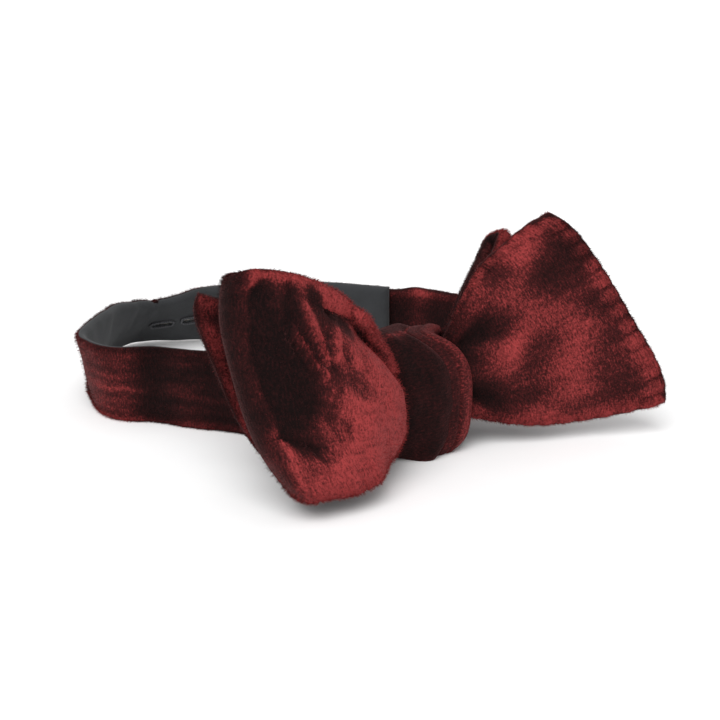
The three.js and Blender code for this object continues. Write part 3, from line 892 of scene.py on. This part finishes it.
# %% [markdown]
# ## The knot
#
# The knot is two turns of the same folded blade. The outer turn, the wrap, is a flattened
# tube that goes once round; its right edge is a crisp fold which leans over the inner
# turn, the cuff, so the cuff shows as a crescent beside it. A velvet core, where the
# blades cross, fills the middle. The section changes all the way round, so each turn is a
# grid that is rolled up both ways.

# %% Knot
KNOT_DEPTH, KNOT_HEIGHT, KNOT_SQUARENESS = 26, 39, 2.6
wrap_low, wrap_high = (np.array(corner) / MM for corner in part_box("knot_wrap_velvet"))
cuff_low, cuff_high = (np.array(corner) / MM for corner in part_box("knot_cuff_velvet"))
knot_centre_z = wrap_high[2] - KNOT_HEIGHT / 2
TURN_HALF, CUFF_SINK = 1.5, 1.1


def ring_point(angle, x, out, depth=KNOT_DEPTH / 2, height=KNOT_HEIGHT / 2):
    """A point on the knot's squarish round: angle 0 is up, 90 degrees is the front."""
    c, s = -np.sin(angle), np.cos(angle)
    squash = (np.abs(c) ** KNOT_SQUARENESS + np.abs(s) ** KNOT_SQUARENESS) ** (-1 / KNOT_SQUARENESS)
    y = c * squash * (depth + out)
    z = s * squash * (height + out) + knot_centre_z
    return np.stack([x + 0 * y, y, z], -1)


def ring_ripple(angle, across, size, seed):
    """Noise that closes round the ring; across is in millimetres."""
    across, angle = np.broadcast_arrays(across, angle)
    return ripple(np.stack([across, 17 * np.cos(angle), 17 * np.sin(angle)], -1), size, seed)


def from_top(angle):
    """The angle as -180 to 180 degrees, so that a bell near the top isn't cut at 0."""
    return np.mod(angle + math.pi, 2 * math.pi) - math.pi


def wrap_edges(angle):
    """Left and right edge of the wrap at each angle: the right edge leans over the cuff."""
    front = smoothstep(np.sin(angle), -0.2, 0.9)
    top = bell(from_top(angle), 0.25, 0.7)
    bottom = bell(np.mod(angle, 2 * math.pi), math.pi * 0.86, 0.5)
    left = wrap_low[0] + 0.4 * front - 1.2 * top
    right = wrap_high[0] + 1.6 * front - 11.5 * top - 5.5 * bottom
    return left, right


def tube_profile(count_face, count_fold):
    """Goes across the face, round one fold, back underneath and round the other fold."""
    face = np.linspace(0, 1, count_face)
    fold = np.linspace(0, math.pi, count_fold)[1:-1]
    across = np.concatenate([face, 1 + 0 * fold, face[::-1], 0 * fold])
    level = np.concatenate([1 + 0 * face, np.cos(fold), -1 + 0 * face, -np.cos(fold)])
    reach = np.concatenate([0 * face, np.sin(fold), 0 * face, -np.sin(fold)])
    return [np.append(part, part[0])[None, :] for part in (across, level, reach)]


def make_tube(name, edges, half, lift, material, nap_and_painted_light, steps=(26, 9), tufts=14000, **ring):
    """One turn of the knot: a flattened tube of cloth, whose own surface is both its faces."""
    across, level, reach = tube_profile(*steps)
    angle = np.linspace(0, 2 * math.pi, 181)[:, None]
    left, right = edges(angle)
    x = left + (right - left) * across + reach * half
    angle, across, level = (part + 0 * x for part in (angle, across, level))
    points = ring_point(angle, x, lift(angle, across) + (level - 1) * half, **ring)
    points[..., 2] = np.maximum(points[..., 2], 0.02 + 0.25 * (1 - level))
    shades = np.clip(nap_and_painted_light(angle, across, level), 0, 1)
    obj = grid_object(name, points[:, ::-1], {"nap_and_painted_light": shades[:, ::-1]}, material, closed=True)
    width, length, area = obj["cut"]
    obj["cut"] = (width / 2, length, area / 2)
    weight = (level > -0.9) * (0.25 + np.abs(2 * across - 1) ** 6)
    if tufts:
        add_pile(obj, points, -surface_grid_normals(points), shades, weight, tufts, len(name))
    return obj


def wrap_lift(angle, across):
    barrel = -1.5 * np.abs(2 * across - 1) ** 3
    front = np.clip(np.sin(angle), 0, 1)
    drape = 0.2 * np.sin(across * 2 * math.pi * 1.6 + 1.5 * np.sin(angle)) * front
    lobe = 4.2 * bell(across, 0.7, 0.4) * bell(angle, math.pi * 0.80, 0.35)
    return barrel + drape + lobe + 0.35 * ring_ripple(angle, across * 18, 14, 21)


def wrap_nap_and_painted_light(angle, across, level):
    # A dark front face with a random spread, and painted highlights along the right fold edge, on
    # the front lobe and over the top of the knot.
    tone = 0.13 + 0.07 * ring_ripple(angle, across * 18, 9, 31)
    tone += 0.65 * bell(across, 1.0, 0.035) * (level > -0.5)
    tone += 0.45 * bell(across, 0.65, 0.3) * bell(angle, math.pi * 0.80, 0.16)
    return tone + 0.5 * bell(from_top(angle), 0.3, 0.12)


def cuff_edges(angle):
    top = bell(from_top(angle), 0.25, 0.6)
    bottom = bell(np.mod(angle, 2 * math.pi), math.pi * 0.88, 0.4)
    left = wrap_high[0] - 5 - 9 * top - 4 * bottom
    right = cuff_high[0] + 0.4 - 8.5 * top - 6.0 * bottom
    return left, right


def cuff_lift(angle, across):
    return (-0.9 * np.abs(2 * across - 1) ** 4 - 0.9 * (across < 0.3)
            + 3.6 * bell(angle, math.pi * 0.80, 0.35) - 0.6 * bell(across, 0.66, 0.04)
            + 0.18 * ring_ripple(angle, across * 10, 16, 23))


def cuff_nap_and_painted_light(angle, across, level):
    # Painted brighter than the wrap, and brighter still towards its right edge where it rounds
    # over: painted light.
    edge = 0.30 * smoothstep(across, 0.5, 1.0) * (level > -0.5)
    return 0.42 + 0.06 * ring_ripple(angle, across * 10, 12, 33) + edge


def canvas_edges(angle):
    left, right = wrap_edges(angle)
    return left + 2.2, right - 2.2


knot_turns = [
    (make_tube("knot_wrap", wrap_edges, TURN_HALF, wrap_lift, velvet, wrap_nap_and_painted_light),
     "knot_wrap_velvet"),
    (make_tube("knot_wrap_canvas", canvas_edges, 0.35,
               lambda angle, across: wrap_lift(angle, across) - 1.15, canvas,
               lambda angle, across, level: 0 * across, steps=(8, 4), tufts=0),
     "knot_wrap_interlining"),
    (make_tube("knot_cuff", cuff_edges, TURN_HALF, cuff_lift, velvet, cuff_nap_and_painted_light,
               depth=KNOT_DEPTH / 2 - CUFF_SINK, height=KNOT_HEIGHT / 2 - CUFF_SINK),
     "knot_cuff_velvet"),
]
for piece, node in knot_turns:
    fit_in(piece, node, lambda each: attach(each, "knot"))
print("knot box, mm:", wrap_low, wrap_high)

# %% [markdown]
# ## The neckband
#
# Two straps of the same turned velvet make the band, and lap where the wearer sets the
# neck size: a left strap with seven worked slots, lined in charcoal twill, and a right
# strap that carries the hook. Both stand on edge in one long loop behind the bow. The
# line that they follow is a smooth curve through points measured from the band's hinge.

# %% Neckband line
BAND_WIDTH, BAND_ROOT_WIDTH, BAND_ROOT_LIFT, BAND_EASE = 25.5, 19, 4, 30
LEFT_STRAP_LENGTH, STRAP_CLEARANCE = 262, 0.5
SLOT_COUNT, SLOT_PITCH, SLOT_LENGTH, SLOT_HEIGHT, FIRST_SLOT = 7, 12.7, 8, 2.4, 10
HOOKED_SLOT, HOOK_BAR = 1, 1.2
OVERLAP_OFFSET = 2 * BLADE_HALF + STRAP_CLEARANCE

band_hinge = hinges["neckband_lift"]
neck_route = np.array([
    [-15, -0.5, 0], [-30, 16, 0], [-47, 36, 0], [-60, 51, -3], [-70, 61, -10],
    [-71, 71, -12], [-67, 90, 4], [-55, 118, 33], [-38, 130, 44], [-20, 125, 36],
    [-2, 113, 18], [15, 98, 6], [31, 81, 0], [44, 66, 0], [55, 50, 0],
    [55, 34, 0], [42, 18, 0], [28, 8, 0], [15, 1.5, 0]], float)
neck_route[:, :2] += band_hinge[:2]


def catmull_rom(points, per_span=60):
    """A centripetal curve through points, sampled evenly in each span."""
    points = np.vstack([2 * points[0] - points[1], points, 2 * points[-1] - points[-2]])
    samples = []
    for p0, p1, p2, p3 in zip(points, points[1:], points[2:], points[3:]):
        d0, d1, d2 = (np.linalg.norm(b - a) ** 0.5 for a, b in ((p0, p1), (p1, p2), (p2, p3)))
        m1 = ((p1 - p0) / d0 - (p2 - p0) / (d0 + d1) + (p2 - p1) / d1) * d1
        m2 = ((p2 - p1) / d1 - (p3 - p1) / (d1 + d2) + (p3 - p2) / d2) * d1
        t = np.linspace(0, 1, per_span, endpoint=False)[:, None]
        samples.append(p1 + m1 * t + (3 * (p2 - p1) - 2 * m1 - m2) * t ** 2
                       + (2 * (p1 - p2) + m1 + m2) * t ** 3)
    samples.append(points[-2][None, :])
    return np.vstack(samples)


plan = catmull_rom(np.column_stack([neck_route[:, :2], np.zeros(len(neck_route))]))
leans = catmull_rom(np.column_stack([
    np.arange(len(neck_route)), neck_route[:, 2], np.zeros(len(neck_route))]))[:, 1]
plan_at = np.concatenate([[0], np.cumsum(np.linalg.norm(np.diff(plan, axis=0), axis=1))])
neck_length = float(plan_at[-1])
tangents = normalised(np.gradient(plan, plan_at, axis=0))
# Where the band leans in over its tightest bend, its top edge would cross itself, so the
# way it leans is averaged over a stretch of the line.
EASED_STEPS = 30
window = np.ones(2 * EASED_STEPS + 1) / (2 * EASED_STEPS + 1)
tangents = normalised(np.stack([
    np.convolve(np.pad(part, EASED_STEPS, mode="edge"), window, "valid")
    for part in tangents.T], -1))
print("step along the band's line, mm:", round(float(plan_at[-1] / len(plan_at)), 2))


def on_plan(table, along):
    columns = [np.interp(along, plan_at, table[:, k]) for k in range(table.shape[1])]
    return np.stack(columns, -1)


def band_point(along, share, depth):
    """A point of the band: along its line, at a share of its width, and depth outwards."""
    held = np.clip(along, 0, neck_length)
    tangent = normalised(on_plan(tangents, held))
    foot = on_plan(plan, held) + tangent * (along - held)[..., None]
    lean = np.radians(np.interp(held, plan_at, leans))
    outward = np.stack([-tangent[..., 1], tangent[..., 0], 0 * held], -1)
    up = np.array([0.0, 0, 1])
    normal = outward * np.cos(lean)[..., None] + up * np.sin(lean)[..., None]
    rise = -outward * np.sin(lean)[..., None] + up * np.cos(lean)[..., None]
    ease = smoothstep(np.minimum(along, neck_length - along), 0, BAND_EASE)
    width = BAND_ROOT_WIDTH + (BAND_WIDTH - BAND_ROOT_WIDTH) * ease
    foot[..., 2] = BAND_ROOT_LIFT * (1 - ease) + BLADE_HALF * np.abs(np.sin(lean))
    return foot + rise * (width * share)[..., None] + normal * depth[..., None]


def slot_at(index):
    return LEFT_STRAP_LENGTH - FIRST_SLOT - index * SLOT_PITCH


right_strap_start = slot_at(HOOKED_SLOT) + SLOT_LENGTH / 2 + HOOK_BAR + 1.5
right_strap_length = neck_length - right_strap_start


def band_wrinkles(along, share):
    face = np.stack([along + 0 * share, (share + 0 * along) * 25], -1)
    slow = 0.5 * ripple(face * np.array([1, 0.45]), 26, 41)
    fine = 0.10 * ripple(face * np.array([1, 0.6]), 9, 42)
    ends = smoothstep(np.minimum(along, neck_length - along), 0, 25)
    return (slow + fine) * ends


def left_band_surface(a, v):
    along = a * LEFT_STRAP_LENGTH + 0 * v
    share = v + 0 * a
    calm = 1 - 0.7 * smoothstep(along, right_strap_start - 20, right_strap_start)
    return band_point(along, share, band_wrinkles(along, share) * calm)


def right_band_surface(a, v):
    along = right_strap_start + a * right_strap_length + 0 * v
    widening = smoothstep(along, LEFT_STRAP_LENGTH, LEFT_STRAP_LENGTH + 10)
    share = (v + 0 * a) * (0.93 + 0.07 * widening)
    offset = OVERLAP_OFFSET * (1 - smoothstep(along, LEFT_STRAP_LENGTH, neck_length - 60))
    calm = 0.3 + 0.7 * smoothstep(along, LEFT_STRAP_LENGTH, LEFT_STRAP_LENGTH + 25)
    return band_point(along, share, offset + band_wrinkles(along, share) * calm)


# %% Make the neckband
slot_edges = np.sort([slot_at(i) + side * SLOT_LENGTH / 2
                      for i in range(SLOT_COUNT) for side in (-1, 1)])
slot_half = SLOT_HEIGHT / 2 / BAND_WIDTH
plain_v = edge_clustered(20, BAND_WIDTH)
band_v = np.sort(np.concatenate([
    plain_v[np.abs(plain_v - 0.5) > slot_half + 0.012], [0.5 - slot_half, 0.5, 0.5 + slot_half]]))
INSIDE_KNOT = 6.0
stops = [-INSIDE_KNOT, *slot_edges, LEFT_STRAP_LENGTH - 0.01]
left_along = np.unique(np.concatenate([
    np.linspace(start, end, max(3, int((end - start) / 1.6) + 1))
    for start, end in zip(stops, stops[1:])]).round(5))
tip = LEFT_STRAP_LENGTH - edge_steps
left_along = np.sort(np.concatenate([left_along[left_along < LEFT_STRAP_LENGTH - EDGE_ROLL], tip]))
left_a = left_along / LEFT_STRAP_LENGTH


def nearest(values, wanted):
    return int(np.argmin(np.abs(values - wanted)))


def slot_holes(across):
    """The grid cells that the slots cut away, for a cloth with these positions across it."""
    j0, j1 = nearest(across, 0.5 - slot_half), nearest(across, 0.5 + slot_half)
    return [(nearest(left_along, slot_at(i) - SLOT_LENGTH / 2),
             nearest(left_along, slot_at(i) + SLOT_LENGTH / 2), j0, j1) for i in range(SLOT_COUNT)]


def near_band_nap_and_painted_light(a, v, points, outward):
    along = a * LEFT_STRAP_LENGTH
    tone = 0.15 + 0.10 * cloth_ripple(along / 7, v * 25, 5, 51)
    # A painted highlight along the bottom edge, and a brighter wavy streak along the middle.
    tone += 0.4 * bell(v, 0.03, 0.07) + 0.22 * bell(v, 0.42 + 0.06 * np.sin(along / 9), 0.07)
    return tone


def right_inner_nap_and_painted_light(a, v, points, outward):
    # Painted highlights on two folds across the strap and along its top edge.
    along = a * right_strap_length
    return 0.18 + 0.35 * bell(along, 27, 4) + 0.2 * bell(along, 46, 6) + 0.3 * bell(v, 0.97, 0.06)


left_band_velvet = lay_cloth("left_band_velvet_cloth", left_band_surface, left_a, band_v, -1,
    velvet, near_band_nap_and_painted_light, (True, False), seam_shift=-0.9, holes=slot_holes(band_v),
    crest_painted_light_gain=0.25, tufts=24000)
left_band_lining = lay_cloth("left_band_lining_cloth", left_band_surface, left_a, band_v, 1,
    lining, plain_nap_and_painted_light(0.5), (True, False), thickness=LINING, seam_shift=-0.75,
    holes=slot_holes(band_v))
canvas_v = np.linspace(0.09, 0.91, 12)
slotted_v = np.sort(np.concatenate([canvas_v, band_v[np.abs(band_v - 0.5) <= slot_half + 1e-6]]))
left_band_canvas = canvas_between("left_band_canvas", left_band_surface, left_a[:-5], slotted_v,
    holes=slot_holes(slotted_v))

right_a = np.linspace(0, 1 + INSIDE_KNOT / right_strap_length, 96)
right_roll = edge_steps / right_strap_length
right_a = np.sort(np.concatenate([right_a[right_a > right_roll[-1] + 0.003], right_roll]))
right_band_outer = lay_cloth("right_band_outer_cloth", right_band_surface, right_a, plain_v, -1,
    velvet, plain_nap_and_painted_light(0.35), (False, True), tufts=8000)
right_band_inner = lay_cloth("right_band_inner_cloth", right_band_surface, right_a, plain_v, 1,
    velvet, right_inner_nap_and_painted_light, (False, True), tufts=8000)
right_band_canvas = canvas_between("right_band_canvas", right_band_surface,
    np.linspace(6 / right_strap_length, right_a[-1], 60), canvas_v)

LEFT_BLEND, RIGHT_BLEND = ((-10, 7, 12), (-26, 21, 12)), ((10, 7, 12), (27, 18, 12))
for piece, node, (start, end) in [
    (left_band_velvet, "left_band_velvet", LEFT_BLEND),
    (left_band_lining, "left_band_lining", LEFT_BLEND),
    (left_band_canvas, "left_band_interlining", LEFT_BLEND),
    (right_band_outer, "right_band_outer_velvet", RIGHT_BLEND),
    (right_band_inner, "right_band_inner_velvet", RIGHT_BLEND),
    (right_band_canvas, "right_band_interlining", RIGHT_BLEND),
]:
    start, end = (tuple(c * MM for c in point) for point in (start, end))
    fit_in(piece, node,
           lambda each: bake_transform(each))
print("neckband length, mm:", round(neck_length, 2), "right strap", round(right_strap_length, 1))

# %% [markdown]
# ## Thread, ribbon and hook
#
# The stitching round each slot, the ribbon tab and the hook keep their CAD shapes. They
# are small and hard-edged in the CAD, so each gets a fine bevel, and its own finish: twisted
# thread, woven ribbon and blackened steel. The crossing inside the knot stays as it is, in
# the darker copy of the velvet that paints shade on the inner faces.

# %% Finish the carried-over parts
carried_finishes = {"t_hook": (metal, 0.16), "hook_loop_tab": (ribbon, 0.06),
                    "slot_stitching": (thread, 0.16), "knot_core_crossing": (velvet_inside_painted_shade, 0)}
carried = {name: obj for name, obj in frame["nodes"].items() if not obj.hide_render}
for name, obj in carried.items():
    finish, edge = next(each for start, each in carried_finishes.items() if name.startswith(start))
    obj.data.materials.clear()
    obj.data.materials.append(finish)
    if edge:
        bevel = obj.modifiers.new("soft_edge", "BEVEL")
        bevel.width = edge * MM
        bevel.segments = 2
        bevel.limit_method = "ANGLE"
        bevel.harden_normals = False
print("carried over:", list(carried))
